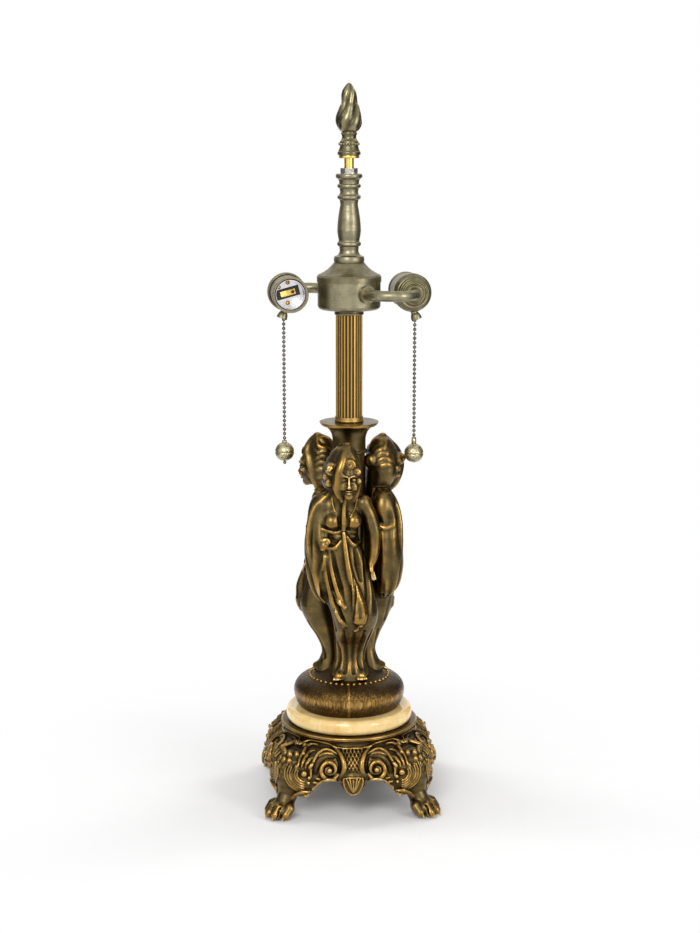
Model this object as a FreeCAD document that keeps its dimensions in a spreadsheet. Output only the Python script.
import FreeCAD, Part
import Sketcher

import math
import os
import re

from FreeCAD import Placement, Rotation, Vector

# Figural table lamp.  Millimetres, +Z up, the axis of the lamp is Z and the four paws stand on z = 0.
# The front figure faces -Y; the right-hand socket is on +X with its mouth away from the front.

SIZES = {
    # base casting
    "base_height": 76.0, "foot_reach": 114.3, "paw_length": 28.0, "paw_width": 30.0, "paw_height": 17.5,
    "ankle_reach": 90.5, "ankle_radius": 10.0, "leg_shoulder_reach": 76.0, "leg_shoulder_width": 40.0,
    "rim_radius": 66.6, "rim_band": 5.5, "cove_radius": 63.2, "cove_height": 9.5, "skirt_half": 77.0,
    "skirt_corner": 36.0, "skirt_bottom": 38.5, "cast_wall": 5.0, "volute_radius": 13.0,
    "volute_offset": 22.9, "volute_level": 50.5, "volute_proud": 7.5, "volute_lean": 12.0,
    "panel_half": 11.0, "pendant_half": 11.9, "pendant_proud": 11.5, "pendant_bottom": 25.0,
    "pendant_top": 43.5,
    # threaded pipe, its nuts and the bushing at its lower end
    "pipe_radius": 5.15, "pipe_wall": 1.35, "pipe_play": 0.15, "pipe_tail": 9.0, "nut_flats": 15.6,
    "nut_height": 4.0, "washer_radius": 12.5, "washer_height": 1.5, "bushing_bore": 3.0,
    "bushing_depth": 12.0, "bushing_flange": 2.5,
    # stone ring and the figure casting
    "onyx_radius": 61.5, "onyx_height": 14.5, "onyx_edge": 5.5,
    "bowl_radius": 53.9, "bowl_foot": 48.0, "bowl_belly": 12.0, "bowl_shoulder": 29.0,
    "bowl_height": 37.5, "urn_radius": 20.8, "urn_bottom": 204.0, "urn_top": 252.0, "urn_neck": 15.8,
    "flange_radius": 27.75, "casting_height": 280.7, "flange_edge": 1.2, "casting_wall": 4.0,
    "core_radius": 13.0, "figure_count": 3,
    # reeded column with its collars
    "column_radius": 12.7, "column_bore": 11.0, "column_length": 103.8, "flute_count": 24,
    "flute_radius": 1.15, "collar_radius": 13.6, "collar_height": 5.0, "collar_floor": 1.5,
    "collar_play": 0.1,
    # cluster
    "cluster_radius": 29.6, "cluster_height": 29.5, "cluster_edge": 4.0, "cluster_wall": 1.6,
    "lid_skirt": 3.6, "lid_shoulder": 3.0, "lid_height": 13.9, "lid_top_radius": 14.6, "lid_hollow": 1.3,
    "arm_level": 16.0, "hickey_boss": 7.0, "hickey_window": 14.0, "hickey_wall": 3.0,
    "strap_width": 10.0, "strap_thickness": 2.0,
    # spindle
    "rod_radius": 4.75, "rod_play": 0.1, "spindle_foot": 13.7, "spindle_foot_height": 6.0,
    "spindle_neck": 8.8, "spindle_low_ring": 11.2, "spindle_belly": 11.1, "spindle_waist": 8.5,
    "spindle_bead": 11.0, "spindle_top": 12.7, "spindle_height": 82.0, "ring_height": 4.4,
    "stud_length": 9.2, "stud_radius": 4.5, "stud_relief": 0.3, "post_nut_flats": 13.9,
    "spindle_washer_height": 1.1, "rod_thread_in_finial": 11.5,
    # finial
    "ferrule_radius": 9.7, "ferrule_height": 2.8, "finial_base": 10.6, "finial_neck": 6.8,
    "finial_bead": 9.2, "flame_level": 20.5, "flame_radius": 11.4, "flame_height": 44.8,
    "flame_tongues": 5, "finial_hole": 21.5,
    # arms
    "arm_radius": 5.0, "arm_bore": 3.7, "arm_azimuth": -60.0, "arm_reach": 40.2, "bend_radius": 21.6,
    "arm_turn": 156.0, "arm_inner_end": 21.5, "arm_tail": 5.0, "arm_collar_radius": 8.2,
    "arm_collar_end": 33.0, "arm_nut_height": 3.0, "wire_radius": 1.1, "wire_spread": 1.4,
    "wire_nut_radius": 4.6, "wire_nut_length": 11.0, "wire_nut_depth": 5.0, "wire_nut_gap": 2.0,
    # sockets, measured along the socket from the end of the arm
    "cap_radius": 17.9, "cap_length": 18.8, "cap_neck": 7.6, "shell_radius": 16.1,
    "shell_wall": 0.9, "shell_start": 10.4, "shell_end": 49.0, "block_radius": 14.2, "block_start": 6.8,
    "block_end": 24.0, "sleeve_wall": 0.6, "bulb_radius": 13.25, "thread_start": 28.8,
    "thread_end": 46.0, "screw_wall": 0.45, "screw_floor": 0.8, "bar_width": 9.0, "bar_length": 22.0,
    "bar_height": 2.2, "bar_slant": 15.0, "tongue_width": 5.0, "tongue_length": 14.0,
    "tongue_height": 1.9,
    # pull switches and chains, measured from the arm's axis
    "chain_place": 14.7, "chain_offset": 2.77, "pull_travel": 6.0, "lever_length": 10.0,
    "lever_drop": 7.0, "lever_width": 2.8, "lever_height": 1.6, "lever_hub": 2.6, "lever_pin": 1.0,
    "lever_play": 0.06, "lever_bow": 0.23, "bell_drop": 18.0, "bell_tilt": 21.0, "bell_length": 7.5,
    "bell_mouth": 5.1, "bell_tube": 3.2, "bell_wall": 0.6, "bell_shank": 2.6, "bell_reach": 4.0,
    "link_radius": 0.6, "link_gap": 0.3, "chain_drop": 25.8, "bead_radius": 1.6, "bead_pitch": 4.22,
    "beads_left": 28, "beads_right": 27, "ball_radius": 9.2, "ball_drop": 152.7, "ball_neck": 2.4,
}

# Heights that follow from the sizes, so that the whole stack moves with any one of them.
LEVELS = {
    "onyx_level": "base_height",
    "casting_level": "onyx_level + onyx_height",
    "column_level": "casting_level + casting_height",
    "tube_level": "column_level + collar_floor",
    "cluster_level": "tube_level + column_length + collar_floor",
    "arm_height": "cluster_level + arm_level",
    "lid_level": "cluster_level + cluster_height - lid_skirt",
    "spindle_level": "lid_level + lid_skirt + lid_height",
    "stud_level": "spindle_level + spindle_height",
    "post_level": "stud_level + spindle_washer_height + nut_height",
    "ferrule_level": "post_level + stud_length",
    "finial_level": "ferrule_level + ferrule_height",
    "plate_level": "base_height - cast_wall",
    "pipe_bottom": "plate_level - pipe_tail",
    "pipe_top": "cluster_level + cluster_wall + nut_height + hickey_boss",
    "rod_bottom": "pipe_top + hickey_window",
    "rod_top": "finial_level + rod_thread_in_finial",
    "pipe_hole": "pipe_radius + pipe_play",
    "rod_hole": "rod_radius + rod_play",
    "wire_nut_mouth": "arm_inner_end - wire_nut_gap",
    "shell_bore": "shell_radius - shell_wall",
    "lever_swing": "2*asin(pull_travel/(2*lever_length))",
    "lever_pivot": "chain_offset + lever_bow - lever_length",
}

doc = FreeCAD.newDocument("FiguralLamp")
sheet = doc.addObject("Spreadsheet::Sheet", "Sizes")
for row, (name, size) in enumerate(SIZES.items(), start=1):
    sheet.set(f"A{row}", name)
    sheet.set(f"B{row}", str(size))
    sheet.setAlias(f"B{row}", name)
doc.recompute()

parts = []


def formula(text):
    """Write an expression of sizes and levels in the sheet's own cells."""
    def cell(match):
        word = match.group(0)
        if word in LEVELS:
            return "(" + formula(LEVELS[word]) + ")"
        return "Sizes." + word if word in SIZES else word
    return re.sub(r"[a-z_]+", cell, text)


def size(text):
    """The number that an expression of sizes and levels stands for."""
    return float(sheet.evalExpression(formula(str(text))))


def keep(item, label):
    item.Label = label
    parts.append(item)
    return item


def quarter(edge):
    """How far a quarter round of this radius swells beyond its chord."""
    return f"{edge}*(1 - sqrt(0.5))"


def origin_plane(body, role):
    return next(f for f in body.Origin.OriginFeatures if f.Role == role)


def arc_middle(start, end, swell):
    """Middle of an arc that swells to the right of the way from start to end."""
    across = Vector(end.y - start.y, start.x - end.x, 0).normalize()
    return (start + end) * 0.5 + across * swell


def sketch_outline(body, plane, outline):
    """A closed sketch through (across, along, swell) points, each one bound to the sheet."""
    sketch = body.newObject("Sketcher::SketchObject", body.Name + "_outline")
    sketch.AttachmentSupport = (origin_plane(body, plane), [""])
    sketch.MapMode = "FlatFace"
    ends = [Vector(size(point[0]), size(point[1]), 0) for point in outline]
    count = len(outline)
    for index in range(count):
        start, end = ends[index], ends[(index + 1) % count]
        following = outline[(index + 1) % count]
        if len(following) == 3:
            middle = arc_middle(start, end, size(following[2]))
            sketch.addGeometry(Part.Arc(start, middle, end), False)
        else:
            sketch.addGeometry(Part.LineSegment(start, end), False)
    # an arc is always stored counterclockwise, so its ends can be the other way round
    first = [1 if sketch.getPoint(i, 1).distanceToPoint(ends[i]) < 1e-6 else 2 for i in range(count)]
    for index in range(count):
        following = (index + 1) % count
        sketch.addConstraint(Sketcher.Constraint(
            "Coincident", index, 3 - first[index], following, first[following]))
        for axis, value in (("DistanceX", outline[index][0]), ("DistanceY", outline[index][1])):
            place = sketch.addConstraint(Sketcher.Constraint(
                axis, -1, 1, index, first[index], size(value)))
            sketch.renameConstraint(place, f"{axis}_{index}")
            sketch.setExpression(f"Constraints.{axis}_{index}", formula(value))
    for index in range(count):
        after = outline[(index + 1) % count]
        if len(after) < 3:
            continue
        here = outline[index]
        chord = f"(({after[0]}) - ({here[0]}))^2 + (({after[1]}) - ({here[1]}))^2"
        radius = f"({chord})/(8*abs({after[2]})) + abs({after[2]})/2"
        place = sketch.addConstraint(Sketcher.Constraint("Radius", index, size(radius)))
        sketch.renameConstraint(place, f"Round_{index}")
        sketch.setExpression(f"Constraints.Round_{index}", formula(radius))
    return sketch


def turned(name, level, outline):
    """A part turned about the lamp's axis, its outline in (radius, height, swell) above its level."""
    body = doc.addObject("PartDesign::Body", name)
    sketch = sketch_outline(body, "XZ_Plane", outline)
    turn = body.newObject("PartDesign::Revolution", name + "_turn")
    turn.Profile = sketch
    turn.ReferenceAxis = (sketch, ["V_Axis"])
    turn.Angle = 360
    body.Tip = turn
    body.setExpression("Placement.Base.z", formula(level))
    return body


def side_place(side, local=""):
    """Placement expression of a socket's own frame: origin at the arm's end, +Y out of the mouth."""
    out = f"(arm_azimuth + {side})"
    turned = f"({out} + arm_turn)"
    east = f"arm_reach*cos({out}) - bend_radius*sin({out}) + bend_radius*sin({turned})"
    north = f"arm_reach*sin({out}) + bend_radius*cos({out}) - bend_radius*cos({turned})"
    frame = (f"placement(vector({east}; {north}; arm_height); "
             f"rotation(vector(0; 0; 1); {turned} - 90))")
    return formula(frame + (" * " + local if local else ""))


def socket_turned(name, side, outline):
    """A part turned about a socket's axis, its outline in (radius, distance along the socket, swell)."""
    body = doc.addObject("PartDesign::Body", name)
    sketch = sketch_outline(body, "XY_Plane", outline)
    turn = body.newObject("PartDesign::Revolution", name + "_turn")
    turn.Profile = sketch
    turn.ReferenceAxis = (sketch, ["V_Axis"])
    turn.Angle = 360
    body.Tip = turn
    body.setExpression("Placement", side_place(side))
    return body


def primitive(kind, name, place=None, **bound):
    """A Part primitive whose properties are bound to the sheet."""
    item = doc.addObject("Part::" + kind, name)
    for key, value in bound.items():
        item.setExpression(key, formula(str(value)))
    if place:
        item.setExpression("Placement", formula(place))
    return item


def at(x="0", y="0", z="0", axis=(0, 0, 1), angle="0"):
    return (f"placement(vector({x}; {y}; {z}); "
            f"rotation(vector({axis[0]}; {axis[1]}; {axis[2]}); {angle}))")


def cut(name, base, tool):
    item = doc.addObject("Part::Cut", name)
    item.Base = base
    item.Tool = tool
    return item


def fuse(name, *shapes):
    item = doc.addObject("Part::MultiFuse", name)
    item.Shapes = list(shapes)
    return item


def hex_nut(label, level, height, bore, flats="nut_flats"):
    prism = primitive("Prism", label + "_hexagon", at(z=level), Circumradius=f"{flats}/2/cos(30)",
                      Height=height)
    prism.Polygon = 6
    hole = primitive("Cylinder", label + "_hole", at(z=level), Radius=bore, Height=height)
    return keep(cut(label + "_cut", prism, hole), label)


def washer(label, level, radius, height, bore):
    return keep(turned(label + "_body", level, [
        (bore, "0"), (radius, "0"), (radius, height), (bore, height)]), label)


def solid(label, shape):
    """A free-form part, kept as one clean solid."""
    item = doc.addObject("Part::Feature", label + "_form")
    item.Shape = shape
    return keep(item, label)


def ring(z, x, y, half_x, half_y, sides=12, fold=0.0):
    """A level many-sided ring; fold draws every other corner in by that share, as cloth folds."""
    corners = []
    for step in range(sides):
        angle = 2 * math.pi * (step + 0.5) / sides
        share = 1.0 - fold * (step % 2)
        east, north = half_x * share * math.cos(angle), half_y * share * math.sin(angle)
        corners.append(Vector(x + east, y + north, z))
    return Part.makePolygon(corners + corners[:1])


def loft_rings(sections, sides=12, fold=0.0):
    """Loft, smooth along its height, through (z, x, y, half_x, half_y) rings."""
    return Part.makeLoft([ring(*section, sides, fold) for section in sections], True, False)


def around_axis(pieces, count, start=0.0):
    """Copies of the pieces, set round Z at equal steps."""
    copies = []
    for step in range(count):
        turn = Placement(Vector(), Rotation(Vector(0, 0, 1), start + 360.0 * step / count))
        for piece in pieces:
            copy = piece.copy()
            copy.Placement = turn.multiply(copy.Placement)
            copies.append(copy)
    return copies


def egg(x, y, z, half_x, half_y, half_z, sides=10):
    """A closed rounded form: a stack of rings that follow an ellipse from pole to pole."""
    sections = []
    levels, last_tilt = 7, 80
    for step in range(levels):
        tilt = math.radians(last_tilt * (2 * step / (levels - 1) - 1))
        share = math.cos(tilt)
        sections.append((z + half_z * math.sin(tilt), x, y, half_x * share, half_y * share))
    return loft_rings(sections, sides)


def outline_solid(outline):
    """Solid turned about Z from (radius, height, swell) points given as expressions."""
    ends = [Vector(size(point[0]), 0, size(point[1])) for point in outline]
    edges = []
    for index, end in enumerate(ends):
        start, swell = ends[index - 1], outline[index][2:]
        if swell:
            flat = arc_middle(Vector(start.x, start.z, 0), Vector(end.x, end.z, 0), size(swell[0]))
            edges.append(Part.Arc(start, Vector(flat.x, 0, flat.y), end).toShape())
        else:
            edges.append(Part.LineSegment(start, end).toShape())
    face = Part.Face(Part.Wire(Part.__sortEdges__(edges)))
    return face.revolve(Vector(0, 0, 0), Vector(0, 0, 1), 360)


# ---------------------------------------------------------------- base casting

def rounded_square(half, corner, height):
    """Level square ring whose corners are rounded in three short sides."""
    corners = []
    middle = half - corner
    for quarter_turn in range(4):
        turn = Rotation(Vector(0, 0, 1), 90 * quarter_turn)
        for step in range(4):
            angle = math.radians(30 * step)
            across, along = corner * math.cos(angle), corner * math.sin(angle)
            corners.append(turn.multVec(Vector(middle + across, middle + along, height)))
    return Part.makePolygon(corners + corners[:1])


def skirt(inset):
    """The flaring four-sided body between the round rim and the apron's lower edge."""
    half, corner = size("skirt_half") - inset, size("skirt_corner") - inset
    top = size("base_height - rim_band - cove_height/2")
    bottom = size("skirt_bottom")
    reach = size("cove_radius") - inset
    sections = [
        (reach - 0.5, reach - 1.0, top),
        (reach + (half - reach) * 0.62, corner + (reach - corner) * 0.5, top - (top - bottom) * 0.3),
        (half, corner, bottom + (top - bottom) * 0.42),
        (half - 1.0, corner - 1.0, bottom),
    ]
    return Part.makeLoft([rounded_square(*section) for section in sections], True, False)


def leg():
    """One leg on +X: a broad shoulder narrowing to the ankle, then a paw with its toes."""
    shoulder, width = size("leg_shoulder_reach"), size("leg_shoulder_width") / 2
    ankle, girth = size("ankle_reach"), size("ankle_radius")
    top, high = size("base_height - rim_band - cove_height"), size("paw_height")
    bottom = size("skirt_bottom")
    # each section is (distance from the axis, height, half its depth, half its width)
    sections = [
        (shoulder - 4, top - 2, 13, width),
        (shoulder + 5, bottom + 8, 15.5, width * 1.05),
        (ankle - 8, bottom - 2, girth * 1.6, width),
        (ankle - 7.5, bottom - 9, girth * 1.5, width * 0.75),
        (ankle - 6.5, high + 4.5, girth * 1.4, girth * 1.25),
        (ankle - 1, high - 1, girth * 1.05, girth * 1.05),
        (ankle + 1.5, high * 0.45, girth * 1.05, girth * 1.2),
    ][::-1]
    shank = loft_rings([(height, reach, 0, deep, wide) for reach, height, deep, wide in sections])
    length, across, tip = size("paw_length") / 2, size("paw_width") / 2, size("foot_reach")
    pieces = [shank, egg(tip - length - 3, 0, high * 0.38, length, across * 0.82, high * 0.62)]
    toes, toe_spread, toe_long, toe_wide = 4, 39, 5.4, 4.3
    heel = tip - length - 6
    for toe in range(toes):
        swing = math.radians(toe_spread * (2 * toe / (toes - 1) - 1))
        reach = heel + (length + 6 - toe_long) * math.cos(swing)
        aside = (across - 4.0) / math.sin(math.radians(toe_spread)) * math.sin(swing)
        pieces.append(egg(reach, aside, high * 0.32, toe_long, toe_wide, high * 0.5, 8))
    return pieces


def spiral_points(start_radius, turns, shrink, count):
    """Points of a spiral that shrinks by the same ratio each turn."""
    points = []
    for step in range(count + 1):
        angle = 2 * math.pi * turns * step / count
        radius = start_radius * shrink ** (turns * step / count)
        points.append(Vector(-radius * math.cos(angle), radius * math.sin(angle), 0))
    return points


def volute():
    """A scroll as a raised spiral band round a boss, in the XY plane, standing up along Z."""
    radius, proud = size("volute_radius"), size("volute_proud")
    turns, shrink, count = 1.6, 0.42, 20
    outer = spiral_points(radius, turns, shrink, count)
    inner = spiral_points(radius * 0.76, turns, shrink, count)
    band = Part.Face(Part.makePolygon(outer + inner[::-1] + outer[:1]))
    band = band.extrude(Vector(0, 0, proud))
    back = Part.Face(ring(0, 0, 0, radius * 0.93, radius * 0.93, 16)).extrude(Vector(0, 0, proud * 0.7))
    boss = egg(0, 0, proud * 0.75, radius * 0.2, radius * 0.2, radius * 0.25, 8)
    return band.fuse([back, boss])


def face_carving():
    """What stands on one face of the apron, in a frame whose +Z leaves the face and +Y is up."""
    scroll = volute()
    offset, level = size("volute_offset"), size("volute_level")
    left = scroll.copy()
    left.Placement = Placement(Vector(-offset, level, 0), Rotation())
    right = scroll.mirror(Vector(0, 0, 0), Vector(1, 0, 0))
    right.Placement = Placement(Vector(offset, level, 0), Rotation())
    wide, radius = size("panel_half"), size("volute_radius")
    narrow, head, sill = wide * 0.72, level + radius, level - radius * 0.4
    corners = [(-wide, head), (wide, head), (narrow, sill), (-narrow, sill), (-wide, head)]
    panel = Part.Face(Part.makePolygon([Vector(across, up, 0) for across, up in corners]))
    panel = panel.extrude(Vector(0, 0, size("volute_proud") * 0.7))
    foot = Vector(0, level - radius, 0)
    for piece in (left, right, panel):
        piece.rotate(foot, Vector(1, 0, 0), -size("volute_lean"))
    top, bottom = size("pendant_top"), size("pendant_bottom")
    shell = egg(0, (top + bottom) / 2, -1.0, size("pendant_half"), (top - bottom) / 2,
                size("pendant_proud") + 1.0)
    return [left, right, panel, shell]


def base_casting():
    inner, foot = "cove_radius - cast_wall", "base_height - rim_band - cove_height"
    collar = outline_solid([
        (inner, foot), ("cove_radius", foot),
        ("cove_radius - 1.2", "base_height - rim_band - 1.2", "-1.6"),
        ("rim_radius - 1.0", "base_height - rim_band"),
        ("rim_radius - 1.2", "base_height - 0.3*rim_band", "1.1"),
        ("onyx_radius + 1.5", "base_height", "0.3"),
        ("pipe_hole", "base_height"), ("pipe_hole", "plate_level"), (inner, "plate_level")])
    cavity_top = Part.makeCylinder(size(inner), size("plate_level"))
    body = skirt(0).fuse(around_axis(leg(), 4, 45.0))
    body = body.cut([skirt_cavity(), cavity_top])
    shape = body.fuse([collar] + carvings_all()).removeSplitter()
    side, deep = 4 * size("foot_reach"), size("base_height")
    ground = Part.makeBox(side, side, deep, Vector(-side / 2, -side / 2, -deep))
    return solid("base_casting", shape.cut(ground))


def skirt_cavity():
    """Hollow of the casting, open below, inside the skirt's wall."""
    return skirt(size("cast_wall")).fuse(Part.makeCylinder(
        size("skirt_half") - size("cast_wall") - 8, size("skirt_bottom") * 1.2))


def carvings_all():
    """The carving of all four faces."""
    face = Placement(Vector(0, 1.0 - size("skirt_half"), 0), Rotation(Vector(1, 0, 0), 90))
    carved = []
    for piece in face_carving():
        piece.Placement = face.multiply(piece.Placement)
        carved.append(piece)
    return around_axis(carved, 4)


# ------------------------------------------------------------- figure casting

def figure():
    """One draped maiden facing -Y.  Heights are counted from the underside of the whole casting;
    each section of a loft is (height, x, y, half its width, half its depth)."""
    gown = loft_rings([
        (33, 1, -20, 17, 11), (54, 1, -18, 14, 9.5), (68, 3, -21, 16, 12), (82, 6, -26, 19, 16),
        (99, 9, -30, 21, 19), (119, 2, -29, 23, 18.5), (141, -4, -28, 23, 17), (165, -7, -27, 19.5, 14),
        (178, -7.5, -26, 18.5, 13), (190, -7.5, -25.5, 20, 14), (204, -7, -23, 20, 10.5),
        (213, -8, -27, 8, 8), (220, -8.5, -30, 7, 7)], 20, 0.07)
    cloak = loft_rings([
        (113, -20, -33, 5, 4), (120, -23, -32, 10, 8.5), (143, -28, -29, 12.5, 12.5),
        (172, -29, -28, 13, 13.5), (192, -27, -26, 12.5, 12), (206, -21, -24, 10, 10),
        (216, -16, -28, 9, 9)], 12, 0.06)
    head = egg(-9, -39.5, 232, 13, 14.5, 19)
    hood = loft_rings([
        (206, -12, -25, 11, 9), (220, -10.5, -29, 15, 13), (236, -9.5, -32, 17, 17),
        (250, -8, -32.5, 14, 15.5), (260, -6.5, -33, 8.5, 10.5), (266.5, -5, -33.5, 2.5, 3.5)])
    curls = [egg(x, -42, 227, 5, 6.5, 6.5, 8) for x in (-20.5, 2.5)]
    upper_arm = limb([(13, -22, 206), (19, -24, 190), (24, -27.5, 171), (24.5, -29, 164)], 7.2, 5.4)
    forearm = limb([(24.5, -28.5, 167), (23, -31, 152), (20, -32.5, 142)], 5.4, 3.8)
    hand = egg(19.5, -33, 136.5, 3.6, 4.2, 6.5, 8)
    right_arm = limb([(-27, -25, 203), (-30, -29, 180), (-30, -34, 160), (-26, -38, 150)], 6.5, 4.6)
    bust = [egg(x, -37.5, 188.5, 7.8, 7, 7.2) for x in (-19, 3.4)]
    scarf = loft_rings([
        (91, 10, -47, 4, 3), (100, 9.5, -48, 6.2, 4), (120, 6, -46.5, 4.4, 3.4), (160, 1, -42, 3.2, 3),
        (196, -5, -36, 2.6, 3)], 8)
    feet = [egg(x, -28.5, 38.5, 5.2, 9.5, 4.6) for x in (-11, 8)]
    return [gown, cloak, head, hood, upper_arm, forearm, hand, right_arm, scarf] + curls + bust + feet


def figure_core():
    """Hollow of one figure: the gown's form drawn in by the wall, open into the plinth below."""
    wall = size("casting_wall")
    sections = (
        (27, 1, -21, 16, 10.5), (54, 1, -18, 12.5, 8.5), (68, 3, -21, 14.5, 11),
        (82, 6, -26, 17, 14.5), (99, 9, -30, 19, 17), (119, 2, -29, 21, 16.5),
        (141, -4, -28, 21, 15), (165, -7, -27, 17.5, 12.5), (200, -7, -24, 16, 9))
    return loft_rings([(height, x, y, half_x - wall, half_y - wall)
                       for height, x, y, half_x, half_y in sections])


def limb(path, start_radius, end_radius):
    """A tapered arm: an eight-sided loft along its joints, thinning from shoulder to wrist."""
    points = [Vector(*point) for point in path]
    wires = []
    for index, point in enumerate(points):
        before = points[max(index - 1, 0)]
        after = points[min(index + 1, len(points) - 1)]
        radius = start_radius + (end_radius - start_radius) * index / (len(points) - 1)
        wire = ring(0, 0, 0, radius, radius, 8)
        wire.Placement = Placement(point, Rotation(Vector(0, 0, -1), after - before))
        wires.append(wire)
    return Part.makeLoft(wires, True, False)


def plinth_and_urn():
    """The turned core of the casting: cushion-shaped bowl, waist, reeded urn and its flange."""
    return outline_solid([
        ("pipe_hole", "0"), ("bowl_foot", "0"), ("bowl_radius", "bowl_belly", "1.6"),
        ("bowl_radius - 7", "bowl_shoulder - 1.5", "2.6"), ("core_radius + 8", "bowl_height", "1.6"),
        ("core_radius", "bowl_height + 3"), ("core_radius", "urn_bottom - 8"),
        ("urn_radius", "urn_bottom + 8", "2.4"), ("urn_radius", "urn_top"),
        ("urn_neck", "urn_top + 7", "0.6"), ("urn_neck + 1.8", "casting_height - 10", "-0.6"),
        ("flange_radius - 1", "casting_height - flange_edge", "-2.0"),
        ("flange_radius", "casting_height"), ("pipe_hole", "casting_height")])


def casting_cavity():
    """Hollow of the plinth, open below, with the shaft that the pipe runs through."""
    foot, belly = "bowl_foot - casting_wall", "bowl_radius - casting_wall"
    return outline_solid([
        ("0.0", "-1"), (foot, "-1"), (foot, "0"), (belly, "bowl_belly", "1.4"),
        (f"{belly} - 9", "bowl_shoulder - 5", "2.4"),
        ("pipe_hole + 3", "bowl_height - casting_wall - 1"), ("pipe_hole + 3", "urn_top"),
        ("0.0", "urn_top")])


def figure_casting():
    turns = int(size("figure_count"))
    hollows = [casting_cavity()] + around_axis([figure_core()], turns)
    shape = plinth_and_urn().fuse(around_axis(figure(), turns)).cut(hollows).removeSplitter()
    item = solid("figure_casting", shape)
    item.setExpression("Placement.Base.z", formula("casting_level"))
    return item


# --------------------------------------------------------------- column parts

def column_tube():
    """Reeded tube: a padded ring with one flute cut and repeated round it."""
    body = doc.addObject("PartDesign::Body", "column_tube_body")
    section = circle_sketch(body, "section", [("0", "column_radius"), ("0", "column_bore")])
    pad = body.newObject("PartDesign::Pad", "column_tube_pad")
    pad.Profile = section
    pad.setExpression("Length", formula("column_length"))
    doc.recompute()
    groove = circle_sketch(body, "flute", [("column_radius + flute_radius*0.25", "flute_radius")])
    pocket = body.newObject("PartDesign::Pocket", "column_tube_flute")
    pocket.Profile = groove
    pocket.Reversed = True
    pocket.setExpression("Length", formula("column_length"))
    doc.recompute()
    pattern = body.newObject("PartDesign::PolarPattern", "column_tube_flutes")
    pattern.Originals = [pocket]
    pattern.Axis = (section, ["N_Axis"])
    pattern.Angle = 360
    pattern.setExpression("Occurrences", formula("flute_count"))
    body.Tip = pattern
    body.setExpression("Placement.Base.z", formula("tube_level"))
    return keep(body, "column_tube")


def circle_sketch(body, name, circles):
    """A sketch of circles, each (distance of its centre along X, radius), bound to the sheet."""
    sketch = body.newObject("Sketcher::SketchObject", body.Name + "_" + name)
    sketch.AttachmentSupport = (origin_plane(body, "XY_Plane"), [""])
    sketch.MapMode = "FlatFace"
    for index, (away, radius) in enumerate(circles):
        centre = Vector(size(away), 0, 0)
        sketch.addGeometry(Part.Circle(centre, Vector(0, 0, 1), size(radius)), False)
        if away == "0":
            sketch.addConstraint(Sketcher.Constraint("Coincident", index, 3, -1, 1))
        else:
            sketch.addConstraint(Sketcher.Constraint("PointOnObject", index, 3, -1))
            gap = sketch.addConstraint(Sketcher.Constraint("DistanceX", -1, 1, index, 3, size(away)))
            sketch.renameConstraint(gap, f"Away_{index}")
            sketch.setExpression(f"Constraints.Away_{index}", formula(away))
        width = sketch.addConstraint(Sketcher.Constraint("Radius", index, size(radius)))
        sketch.renameConstraint(width, f"Radius_{index}")
        sketch.setExpression(f"Constraints.Radius_{index}", formula(radius))
    return sketch


def column_collars():
    seat = "column_radius + collar_play"
    keep(turned("column_base_collar_body", "column_level", [
        ("pipe_hole", "0"), ("collar_radius - 0.4", "0"), ("collar_radius", "collar_height/2", "0.5"),
        ("collar_radius - 0.3", "collar_height"), (seat, "collar_height"), (seat, "collar_floor"),
        ("pipe_hole", "collar_floor")]), "column_base_collar")
    keep(turned("column_top_collar_body", "cluster_level - collar_height", [
        (seat, "0"), ("collar_radius - 0.3", "0"), ("collar_radius", "collar_height/2", "0.5"),
        ("collar_radius - 0.4", "collar_height"), ("pipe_hole", "collar_height"),
        ("pipe_hole", "collar_height - collar_floor"), (seat, "collar_height - collar_floor")]),
        "column_top_collar")


def pipe_parts():
    bore, length = "pipe_radius - pipe_wall", "pipe_top - pipe_bottom"
    keep(turned("main_pipe_body", "pipe_bottom", [
        (bore, "0"), ("pipe_radius", "0"), ("pipe_radius", length), (bore, length)]), "main_pipe")
    washer("base_washer", "plate_level - washer_height", "washer_radius", "washer_height", "pipe_hole")
    hex_nut("base_nut", "plate_level - washer_height - nut_height", "nut_height", "pipe_radius")
    tip = "bushing_flange + bushing_depth"
    keep(turned("cord_bushing_body", "pipe_bottom - bushing_flange", [
        ("bushing_bore", "0"), ("pipe_radius - 0.6", "0"), ("pipe_radius", "bushing_flange", "0.3"),
        (bore, "bushing_flange"), (bore, tip), ("bushing_bore", tip)]), "cord_bushing")
    keep(turned("onyx_ring_body", "onyx_level", [
        ("pipe_hole", "0"), ("onyx_radius - onyx_edge", "0"),
        ("onyx_radius", "onyx_edge", quarter("onyx_edge")), ("onyx_radius", "onyx_height - onyx_edge"),
        ("onyx_radius - onyx_edge", "onyx_height", quarter("onyx_edge")), ("pipe_hole", "onyx_height")]),
        "onyx_ring")


# --------------------------------------------------------------------- cluster

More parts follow.
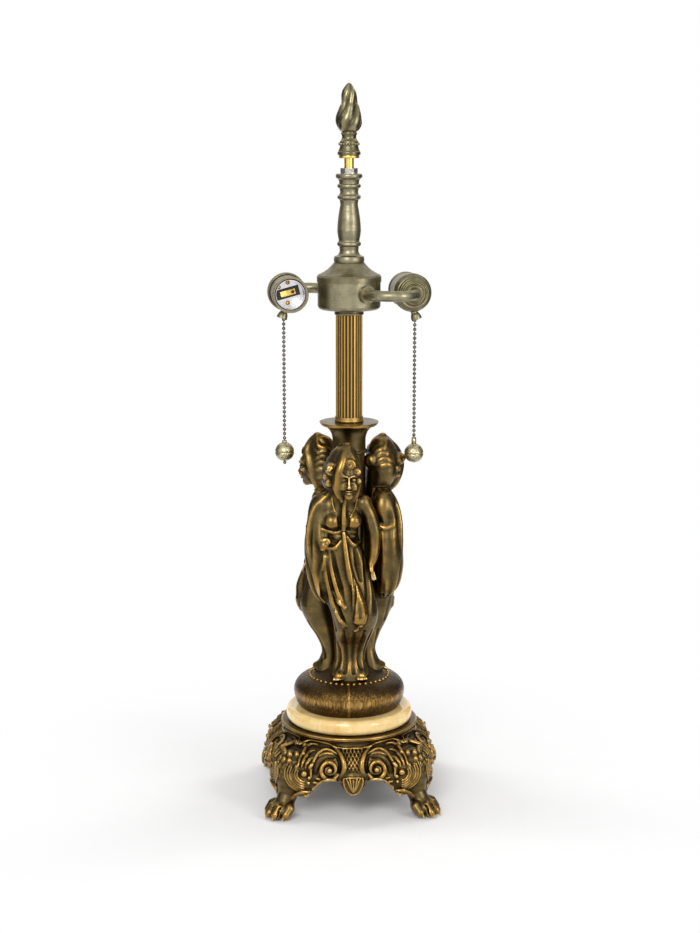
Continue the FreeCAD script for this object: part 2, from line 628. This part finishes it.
def cluster_parts():
    cup = turned("cluster_cup", "cluster_level", [
        ("pipe_hole", "0"), ("cluster_radius - cluster_edge", "0"),
        ("cluster_radius", "cluster_edge", quarter("cluster_edge")),
        ("cluster_radius", "cluster_height"), ("cluster_radius - cluster_wall", "cluster_height"),
        ("cluster_radius - cluster_wall", "cluster_edge"),
        ("cluster_radius - cluster_edge", "cluster_wall", "-" + quarter("cluster_edge")),
        ("pipe_hole", "cluster_wall")])
    holes = [primitive("Cylinder", f"arm_hole_{side}", arm_axis(side), Radius="arm_radius",
                       Height="cluster_radius + 5") for side in (0, 180)]
    keep(cut("cluster_body_cut", cup, fuse("arm_holes", *holes)), "cluster_body")
    seat, outer, inner = "cluster_radius + 0.05", "cluster_radius + 0.75", "cluster_radius - 2.4"
    top = "lid_skirt + lid_height"
    keep(turned("cluster_lid_body", "lid_level", [
        (seat, "0"), (outer, "0"), (outer, "lid_skirt + 1.2"),
        ("cluster_radius - 0.7", "lid_skirt + lid_shoulder"), ("lid_top_radius", top, "-lid_hollow"),
        ("rod_hole", top), ("rod_hole", f"{top} - cluster_wall"),
        ("lid_top_radius - 0.6", f"{top} - cluster_wall"),
        (inner, "lid_skirt + lid_shoulder - 1.4", "lid_hollow"), (inner, "lid_skirt"),
        (seat, "lid_skirt")]), "cluster_lid")
    hex_nut("cluster_locknut", "cluster_level + cluster_wall", "nut_height", "pipe_radius")
    hex_nut("lid_locknut", "spindle_level - cluster_wall - nut_height", "nut_height", "rod_radius")
    hickey()


def arm_axis(side, start="0"):
    """Placement whose +Z runs outwards along an arm where it leaves the cluster."""
    azimuth = f"(arm_azimuth + {side})"
    return (f"placement(vector(({start})*cos({azimuth}); ({start})*sin({azimuth}); arm_height); "
            f"rotation(vector(0; 0; 1); {azimuth})) * placement(vector(0; 0; 0); "
            f"rotation(vector(0; 1; 0); 90))")


def hickey():
    """Open harp of the cluster: two threaded bosses joined by two straps, with windows for the wires."""
    low, high = "pipe_top - hickey_boss", "rod_bottom"
    pieces = []
    for word, level in (("low", low), ("high", high)):
        pieces.append(primitive("Cylinder", f"hickey_{word}_boss", at(z=level),
                                Radius="pipe_radius + hickey_wall", Height="hickey_boss"))
    for turn in (90, 270):
        spin = at(z=low, angle=f"arm_azimuth + {turn}")
        aside = at(x="pipe_radius + strap_thickness - 0.2", y="-strap_width/2")
        pieces.append(primitive(
            "Box", f"hickey_strap_{turn}", f"{spin} * {aside}",
            Length="strap_thickness", Width="strap_width", Height="2*hickey_boss + hickey_window"))
    body = fuse("hickey_body", *pieces)
    bores = fuse("hickey_bores",
                 primitive("Cylinder", "hickey_low_bore", at(z=low), Radius="pipe_radius",
                           Height="hickey_boss"),
                 primitive("Cylinder", "hickey_high_bore", at(z=high), Radius="rod_radius",
                           Height="hickey_boss"))
    keep(cut("hickey_cut", body, bores), "hickey")


# ----------------------------------------------------------- spindle and finial

def spindle():
    """Turned baluster: foot, neck and ring below the belly, waist and two beads below the top."""
    foot, neck, waist, top = "spindle_foot_height", "spindle_neck", "spindle_waist", "spindle_height"
    ring_swell = "spindle_low_ring - spindle_neck - 1"
    bead_swell = "spindle_bead - spindle_waist - 0.8"
    keep(turned("spindle_body", "spindle_level", [
        ("rod_hole", "0"), ("spindle_foot", "0"), ("spindle_foot", foot, "0.7"),
        (f"{neck} + 2", f"{foot} + 1.2"), (neck, f"{foot} + 5.6", "-0.4"),
        (f"{neck} + 0.4", f"{foot} + 9.2"), (f"{neck} + 1", f"{foot} + 9.4"),
        (f"{neck} + 1", f"{foot} + ring_height + 9.4", ring_swell),
        ("spindle_belly - 1.4", f"{foot} + 15"), ("spindle_belly", f"{foot} + 24", "0.2"),
        (f"{waist} - 0.2", f"{foot} + 47", "0.5"), (f"{waist} + 0.2", f"{top} - 24.5", "-0.15"),
        (f"{waist} + 0.8", f"{top} - 23.5"), (f"{waist} + 0.8", f"{top} - 19.2", bead_swell),
        (f"{waist} + 0.2", f"{top} - 18"), (f"{waist} + 0.3", f"{top} - 14.2", "-0.25"),
        (f"{waist} + 0.8", f"{top} - 13.2"), (f"{waist} + 0.8", f"{top} - 9", bead_swell),
        (f"{waist} + 0.9", f"{top} - 7.4"), ("spindle_top - 1.4", f"{top} - 4.2", "-0.5"),
        ("spindle_top - 1.0", top, "1.0"), ("rod_hole", top)]), "spindle")


def spindle_fittings():
    """Washer, nut and rod that clamp the spindle, and the ferrule under the finial."""
    washer("spindle_washer", "stud_level", "post_nut_flats/2 + 1", "spindle_washer_height", "rod_hole")
    hex_nut("spindle_nut", "stud_level + spindle_washer_height", "nut_height", "rod_radius",
            "post_nut_flats")
    post, ferrule = "post_level - rod_bottom + stud_relief", "ferrule_level - rod_bottom - stud_relief"
    keep(turned("finial_rod_body", "rod_bottom", [
        ("rod_radius/2", "0"), ("rod_radius", "0"), ("rod_radius", post), ("stud_radius", post),
        ("stud_radius", ferrule), ("rod_radius", ferrule), ("rod_radius", "rod_top - rod_bottom"),
        ("rod_radius/2", "rod_top - rod_bottom")]), "finial_rod")
    keep(turned("finial_ferrule_body", "ferrule_level", [
        ("rod_hole", "0"), ("ferrule_radius - 0.5", "0"), ("ferrule_radius", "ferrule_height/2", "0.15"),
        ("ferrule_radius - 0.5", "ferrule_height", "0.15"), ("rod_hole", "ferrule_height")]),
        "finial_ferrule")


def tongue_section(height, radius, twist, lean):
    """One level section of the flame: a ridge and two flanks for each tongue, turned by twist."""
    tongues = int(size("flame_tongues"))
    points = []
    for step in range(tongues * 3):
        angle = 2 * math.pi * step / (tongues * 3) + math.radians(twist)
        reach = radius * (1.0 if step % 3 == 0 else 0.8)
        points.append(Vector(lean + reach * math.cos(angle), reach * math.sin(angle), height))
    return Part.makePolygon(points + points[:1])


def finial():
    """Turned foot and neck, with a bud of flame tongues that twist about a third of a turn."""
    foot = outline_solid([
        ("rod_hole", "0"), ("finial_base", "0"), ("finial_base", "2"), ("finial_bead - 0.4", "4"),
        ("finial_bead - 0.4", "7.4"), ("finial_bead - 0.2", "8.6"), ("finial_bead - 0.2", "11", "0.5"),
        ("finial_neck + 0.6", "13", "-0.2"), ("finial_neck", "16.2", "-0.1"),
        ("finial_neck + 0.9", "18.4", "0.2"),
        ("finial_neck + 0.6", "flame_level + 1"), ("rod_hole", "flame_level + 1")])
    level, tall, wide = size("flame_level"), size("flame_height"), size("flame_radius")
    twist = 110
    # each section is (share of the height, share of the radius, how far it leans)
    sections = [(0.0, 0.62, 0.0), (0.1, 0.88, 0.0), (0.22, 1.05, 0.0), (0.36, 1.0, 0.0), (0.5, 0.8, 0.4),
                (0.64, 0.62, 0.8), (0.8, 0.6, 0.6), (0.92, 0.42, -0.2), (1.0, 0.17, -0.6)]
    flame = Part.makeLoft([tongue_section(level + tall * up, wide * share, twist * up, lean)
                           for up, share, lean in sections], True, False)
    hole = Part.makeCylinder(size("rod_hole"), size("finial_hole"))
    item = solid("finial", foot.fuse(flame).cut(hole))
    item.setExpression("Placement.Base.z", formula("finial_level"))
    return item


# ------------------------------------------------------------ arms and sockets

def arm_path(side, start, tail, lift=0.0):
    """Level path of an arm: straight out of the cluster, round the bend, straight into its socket."""
    azimuth = math.radians(size("arm_azimuth") + side)
    bend, swing, reach = size("bend_radius"), math.radians(size("arm_turn")), size("arm_reach")
    height = size("arm_height") + lift

    def heading(angle):
        return Vector(math.cos(angle), math.sin(angle), 0)

    def around(angle):
        return centre + Vector(math.sin(angle), -math.cos(angle), 0) * bend

    base = Vector(0, 0, height)
    bend_start = base + heading(azimuth) * reach
    centre = bend_start + Vector(-math.sin(azimuth), math.cos(azimuth), 0) * bend
    bend_end = around(azimuth + swing)
    edges = [
        Part.LineSegment(base + heading(azimuth) * start, bend_start).toShape(),
        Part.Arc(bend_start, around(azimuth + swing / 2), bend_end).toShape(),
        Part.LineSegment(bend_end, bend_end + heading(azimuth + swing) * tail).toShape()]
    return Part.Wire(edges), heading(azimuth)


def rod_along(path, way, radius):
    start = path.Vertexes[0].Point
    end_ring = Part.Wire([Part.Circle(start, way, radius).toShape()])
    return path.makePipeShell([end_ring], True, True)


def arm_parts(side, name):
    path, way = arm_path(side, size("arm_inner_end"), size("arm_tail"))
    bore = rod_along(path, way, size("arm_bore"))
    solid(name + "_arm", rod_along(path, way, size("arm_radius")).cut(bore))
    wires = []
    for lift in (-size("wire_spread"), size("wire_spread")):
        path, way = arm_path(side, size("wire_nut_mouth - wire_nut_depth"), size("block_start"), lift)
        wires.append(rod_along(path, way, size("wire_radius")))
    solid(name + "_leads", Part.makeCompound(wires))
    arm_fittings(side, name)
    wire_nut(side, name)


def arm_fittings(side, name):
    """The arm's collar, shaped to the round cluster, and the locknut inside it."""
    sleeve = primitive("Cylinder", name + "_collar_round", arm_axis(side, "cluster_radius - 6"),
                       Radius="arm_collar_radius", Height="arm_collar_end - cluster_radius + 6")
    seat = primitive("Cylinder", name + "_collar_seat", at(z="cluster_level"),
                     Radius="cluster_radius", Height="cluster_height")
    bore = primitive("Cylinder", name + "_collar_bore", arm_axis(side), Radius="arm_radius",
                     Height="arm_collar_end + 5")
    keep(cut(name + "_arm_collar_cut", sleeve, fuse(name + "_collar_cuts", seat, bore)),
         name + "_arm_collar")
    nut_face = "sqrt((cluster_radius - cluster_wall)^2 - (nut_flats/2/cos(30))^2) - 0.1"
    hexagon = primitive("Prism", name + "_arm_nut_hexagon",
                        arm_axis(side, f"{nut_face} - arm_nut_height"),
                        Circumradius="nut_flats/2/cos(30)", Height="arm_nut_height")
    hexagon.Polygon = 6
    nut_bore = primitive("Cylinder", name + "_arm_nut_bore", arm_axis(side), Radius="arm_radius",
                         Height="cluster_radius")
    keep(cut(name + "_arm_locknut_cut", hexagon, nut_bore), name + "_arm_locknut")


def wire_nut(side, name):
    """Twist-on connector on the leads' inner ends: a blunt cone, hollow from its mouth."""
    cone = primitive("Cone", name + "_wire_nut_cone", arm_axis(side, "wire_nut_mouth - wire_nut_length"),
                     Radius1="wire_nut_radius*0.55", Radius2="wire_nut_radius", Height="wire_nut_length")
    hollow = primitive("Cylinder", name + "_wire_nut_hollow",
                       arm_axis(side, "wire_nut_mouth - wire_nut_depth"),
                       Radius="wire_spread + wire_radius", Height="wire_nut_depth + 1")
    keep(cut(name + "_wire_nut_cut", cone, hollow), name + "_wire_nut")


def bell_axis():
    """Placement of the chain bell in the socket's frame, its mouth leaning outwards."""
    return at("chain_offset - 0.8", "chain_place", "-bell_drop", axis=(0, 1, 0), angle="-bell_tilt")


def bell_hole(name, side):
    """The round hole that the bell's shank is pressed into, along the bell's own axis."""
    hole = primitive("Cylinder", name, None, Radius="bell_tube", Height="2.5*bell_reach")
    hole.setExpression("Placement", side_place(side, bell_axis() + " * " + at(z="-bell_reach")))
    return hole


def socket_parts(side, name):
    cap = socket_turned(name + "_cap_turned", side, [
        ("arm_radius", "0"), ("cap_neck", "0"), ("cap_neck", "1.8", "0.2"), ("cap_radius*0.8", "3.4"),
        ("cap_radius*0.8", "4.8", "0.2"), ("cap_radius*0.93", "8.2", "0.7"), ("cap_radius*0.93", "9.6"),
        ("cap_radius", "12.6", "0.4"), ("cap_radius", "cap_length", "0.3"),
        ("shell_radius", "cap_length"), ("shell_radius", "shell_start"),
        ("block_radius", "shell_start"), ("block_radius", "block_start"),
        ("arm_radius", "block_start - 0.6")])
    keep(cut(name + "_socket_cap_cut", cap, bell_hole(name + "_cap_hole", side)),
         name + "_socket_cap")
    bore = "shell_bore"
    shell = socket_turned(name + "_shell_turned", side, [
        (bore, "shell_start"), ("shell_radius", "shell_start"), ("shell_radius - 0.2", "shell_end - 3"),
        ("shell_radius + 0.4", "shell_end - 2.4"), ("shell_radius + 0.4", "shell_end", "0.4"),
        (bore, "shell_end")])
    keep(cut(name + "_socket_shell_cut", shell, bell_hole(name + "_shell_hole", side)),
         name + "_socket_shell")
    keep(socket_turned(name + "_sleeve_turned", side, [
        (f"{bore} - sleeve_wall", "block_end"), (bore, "block_end"), (bore, "thread_end + 0.6"),
        (f"{bore} - sleeve_wall", "thread_end + 0.6")]), name + "_insulating_sleeve")
    switch_block(side, name)
    screw_shell(side, name)
    centre_contact(side, name)
    switch_lever(side, name)
    keep(lever_pin(name + "_pin", side), name + "_lever_pin")
    pull_link(side, name)
    bell = turned(name + "_bell_turned", "0", [
        ("bell_tube - bell_wall", "bell_shank"), ("bell_tube - bell_wall", "-1"),
        ("bell_mouth - bell_wall", "-bell_length", "-0.5"), ("bell_mouth", "-bell_length"),
        ("bell_tube", "-1", "0.5"), ("bell_tube", "bell_shank")])
    bell.setExpression("Placement", side_place(side, bell_axis()))
    keep(bell, name + "_chain_bell")


def bar_box(name, side, grow="0", start="block_end - 1", height="bar_height + 1"):
    """The slanting bar across the socket's floor, grown all round by a play."""
    slant = at(y=start, axis=(0, 1, 0), angle="bar_slant")
    box = primitive("Box", name, None, Length=f"bar_length + 2*({grow})", Width=height,
                    Height=f"bar_width + 2*({grow})")
    box.setExpression("Placement", side_place(
        side, slant + " * " + at(x=f"-bar_length/2 - ({grow})", z=f"-bar_width/2 - ({grow})")))
    return box


def switch_block(side, name):
    """Moulded switch body: holds the lever in a slot that opens downwards, and carries the contacts."""
    block = socket_turned(name + "_block_turned", side, [
        ("arm_radius - 1", "block_start"), ("block_radius", "block_start"),
        ("block_radius", "block_end"), ("arm_radius - 1", "block_end")])
    core = primitive("Cylinder", name + "_block_core", None, Radius="arm_radius - 1",
                     Height="block_end - block_start")
    core.setExpression("Placement", side_place(side, at(y="block_start", axis=(1, 0, 0), angle="-90")))
    chamber = primitive("Box", name + "_block_chamber", None, Length="chain_offset + lever_drop + 9",
                        Width="lever_width + 1.2", Height="block_radius + 2")
    chamber.setExpression("Placement", side_place(side, at(
        "chain_offset - lever_length - 4", "chain_place - lever_width/2 - 0.6", "-block_radius - 1")))
    pin_hole = lever_pin(name + "_pin_hole", side)
    body = fuse(name + "_block_fused", block, core, bar_box(name + "_bar", side))
    keep(cut(name + "_switch_block_cut", body, fuse(name + "_block_cuts", chamber, pin_hole)),
         name + "_switch_block")


def lever_pin(name, side):
    pin = primitive("Cylinder", name, None, Radius="lever_pin", Height="lever_width + 5")
    pin.setExpression("Placement", side_place(side, at(
        "lever_pivot", "chain_place - lever_width/2 - 2.5", "-lever_drop", axis=(1, 0, 0), angle="-90")))
    return pin


def screw_shell(side, name):
    """Threaded shell for the lamp base, with a narrower floor that lets the bar through."""
    outer, inner = "bulb_radius + screw_wall", "bulb_radius"
    neck, eye = "bulb_radius - 0.5", "1"
    floor, shoulder = "block_end + screw_floor", "thread_start - screw_wall"
    shell = socket_turned(name + "_screw_turned", side, [
        (eye, "block_end"), (neck, "block_end"), (neck, shoulder), (outer, shoulder),
        (outer, "thread_end"), (inner, "thread_end"), (inner, "thread_start"),
        (f"{neck} - screw_wall", "thread_start"), (f"{neck} - screw_wall", floor), (eye, floor)])
    keep(cut(name + "_screw_shell_cut", shell, bar_box(name + "_screw_slot", side, grow="0.25")),
         name + "_screw_shell")


def centre_contact(side, name):
    """Tongue on the bar, sloping down at one end, that touches the lamp's tip."""
    tongue = primitive("Wedge", name + "_tongue", None, Xmin="-tongue_length/2", Xmax="tongue_length/2",
                       X2min="-tongue_length/2", X2max="tongue_length*0.1", Ymin="0",
                       Ymax="tongue_height", Zmin="-tongue_width/2", Zmax="tongue_width/2",
                       Z2min="-tongue_width/2", Z2max="tongue_width/2")
    tongue.setExpression("Placement", side_place(
        side, at(y="block_end + bar_height", axis=(0, 1, 0), angle="bar_slant")))
    keep(tongue, name + "_centre_contact")


def switch_lever(side, name):
    """Rocking lever of the pull switch on its pin, drawn at rest with its free end up."""
    pivot = at("lever_pivot", "chain_place", "-lever_drop", axis=(0, 1, 0), angle="-lever_swing/2")
    hub = primitive("Cylinder", name + "_lever_hub", None, Radius="lever_hub", Height="lever_width")
    hub.setExpression("Placement", side_place(side, pivot + " * " + at(
        y="-lever_width/2", axis=(1, 0, 0), angle="-90")))
    bar = primitive("Box", name + "_lever_bar", None, Length="lever_length + 2.4", Width="lever_width",
                    Height="lever_height")
    bar.setExpression("Placement", side_place(side, pivot + " * " + at(
        y="-lever_width/2", z="-lever_height/2")))
    bore = primitive("Cylinder", name + "_lever_bore", None, Radius="lever_pin + lever_play",
                     Height="lever_width + 2")
    bore.setExpression("Placement", side_place(side, pivot + " * " + at(
        y="-lever_width/2 - 1", axis=(1, 0, 0), angle="-90")))
    slot = primitive("Box", name + "_lever_slot", None, Length="4*link_radius + 1",
                     Width="2*link_radius + 0.6", Height="lever_height + 4")
    slot.setExpression("Placement", side_place(side, pivot + " * " + at(
        "lever_length - 2*link_radius - 0.5", "-link_radius - 0.3", "-lever_height/2 - 2")))
    keep(cut(name + "_lever_cut", fuse(name + "_lever_fused", hub, bar),
             fuse(name + "_lever_cuts", bore, slot)), name + "_switch_lever")


def pull_link(side, name):
    """Headed wire that hangs in the lever's slot and carries the chain."""
    link_foot = "chain_drop - bead_radius - link_gap"
    head_drop = "lever_drop - pull_travel/2 - lever_height/2 - 1.0"
    wire = primitive("Cylinder", name + "_link_wire", None, Radius="link_radius",
                     Height=f"({link_foot}) - ({head_drop})")
    wire.setExpression("Placement", side_place(side, at(
        "chain_offset", "chain_place", f"-({link_foot})")))
    head = primitive("Cylinder", name + "_link_head", None, Radius="link_radius*2.3", Height="1")
    head.setExpression("Placement", side_place(side, at(
        "chain_offset", "chain_place", f"-({head_drop})")))
    keep(fuse(name + "_link_fused", wire, head), name + "_pull_link")


def chain_parts(side, name, beads):
    """Bead chain as one six-sided loft of beads and links, with its ball."""
    bead, pitch, thin = size("bead_radius"), size("bead_pitch"), size("link_radius")
    count = int(size(beads))
    last = size("chain_drop") + pitch * (count - 1)
    rings = []
    for index in range(count):
        drop = size("chain_drop") + pitch * index
        rings += [level_ring(drop - bead, thin), level_ring(drop - bead / 2, bead),
                  level_ring(drop + bead / 2, bead), level_ring(drop + bead, thin)]
    neck_top = last + bead
    rings.append(level_ring(neck_top + 0.3, thin))
    chain = solid(name + "_pull_chain", Part.makeLoft(rings, True, True))
    chain.setExpression("Placement", side_place(side, at("chain_offset", "chain_place")))
    ball = solid(name + "_chain_ball", ball_on_neck(neck_top + 0.3))
    ball.setExpression("Placement", side_place(side, at("chain_offset", "chain_place")))


def level_ring(drop, radius, sides=6):
    """A level many-sided ring, hung this far below the socket's axis."""
    corners = []
    for step in range(sides):
        angle = 2 * math.pi * step / sides
        corners.append(Vector(radius * math.cos(angle), radius * math.sin(angle), -drop))
    return Part.makePolygon(corners + corners[:1])


def ball_on_neck(top_drop):
    """The ball at a chain's end with the neck that the last link enters."""
    radius, drop, neck = size("ball_radius"), size("ball_drop"), size("ball_neck")
    bands, sides, neck_top, button = 8, 12, 1.5, 1.2
    rings = [level_ring(top_drop, neck_top, sides), level_ring(drop - radius * 0.98, neck, sides)]
    for band in range(1, bands):
        tilt = math.pi * band / bands
        rings.append(level_ring(drop - radius * math.cos(tilt), radius * math.sin(tilt), sides))
    rings.append(level_ring(drop + radius, button, sides))
    return Part.makeLoft(rings, True, True)


def end_bead():
    """Bare last bead of the left chain, below its ball."""
    level = size("ball_drop + ball_radius + bead_radius")
    item = solid("left_end_bead", Part.makeSphere(size("bead_radius"), Vector(0, 0, -level)))
    item.setExpression("Placement", side_place(180, at("chain_offset", "chain_place")))


base_casting()
pipe_parts()
figure_casting()
column_tube()
column_collars()
cluster_parts()
spindle()
spindle_fittings()
finial()
for side, name, beads in ((180, "left", "beads_left"), (0, "right", "beads_right")):
    arm_parts(side, name)
    socket_parts(side, name)
    chain_parts(side, name, beads)
end_bead()
doc.recompute()

for item in doc.Objects:
    if {"Invalid", "Error"} & set(item.State):
        raise RuntimeError(f"{item.Label} failed: {item.State} {item.getStatusString()}")
for item in parts:
    if item.Shape.isNull() or not item.Shape.isValid():
        raise RuntimeError(f"{item.Label} has no valid shape")
os.makedirs("parts", exist_ok=True)
for item in parts:
    item.Shape.exportStep(f"parts/{item.Label}.step")
print(len(parts), "parts")
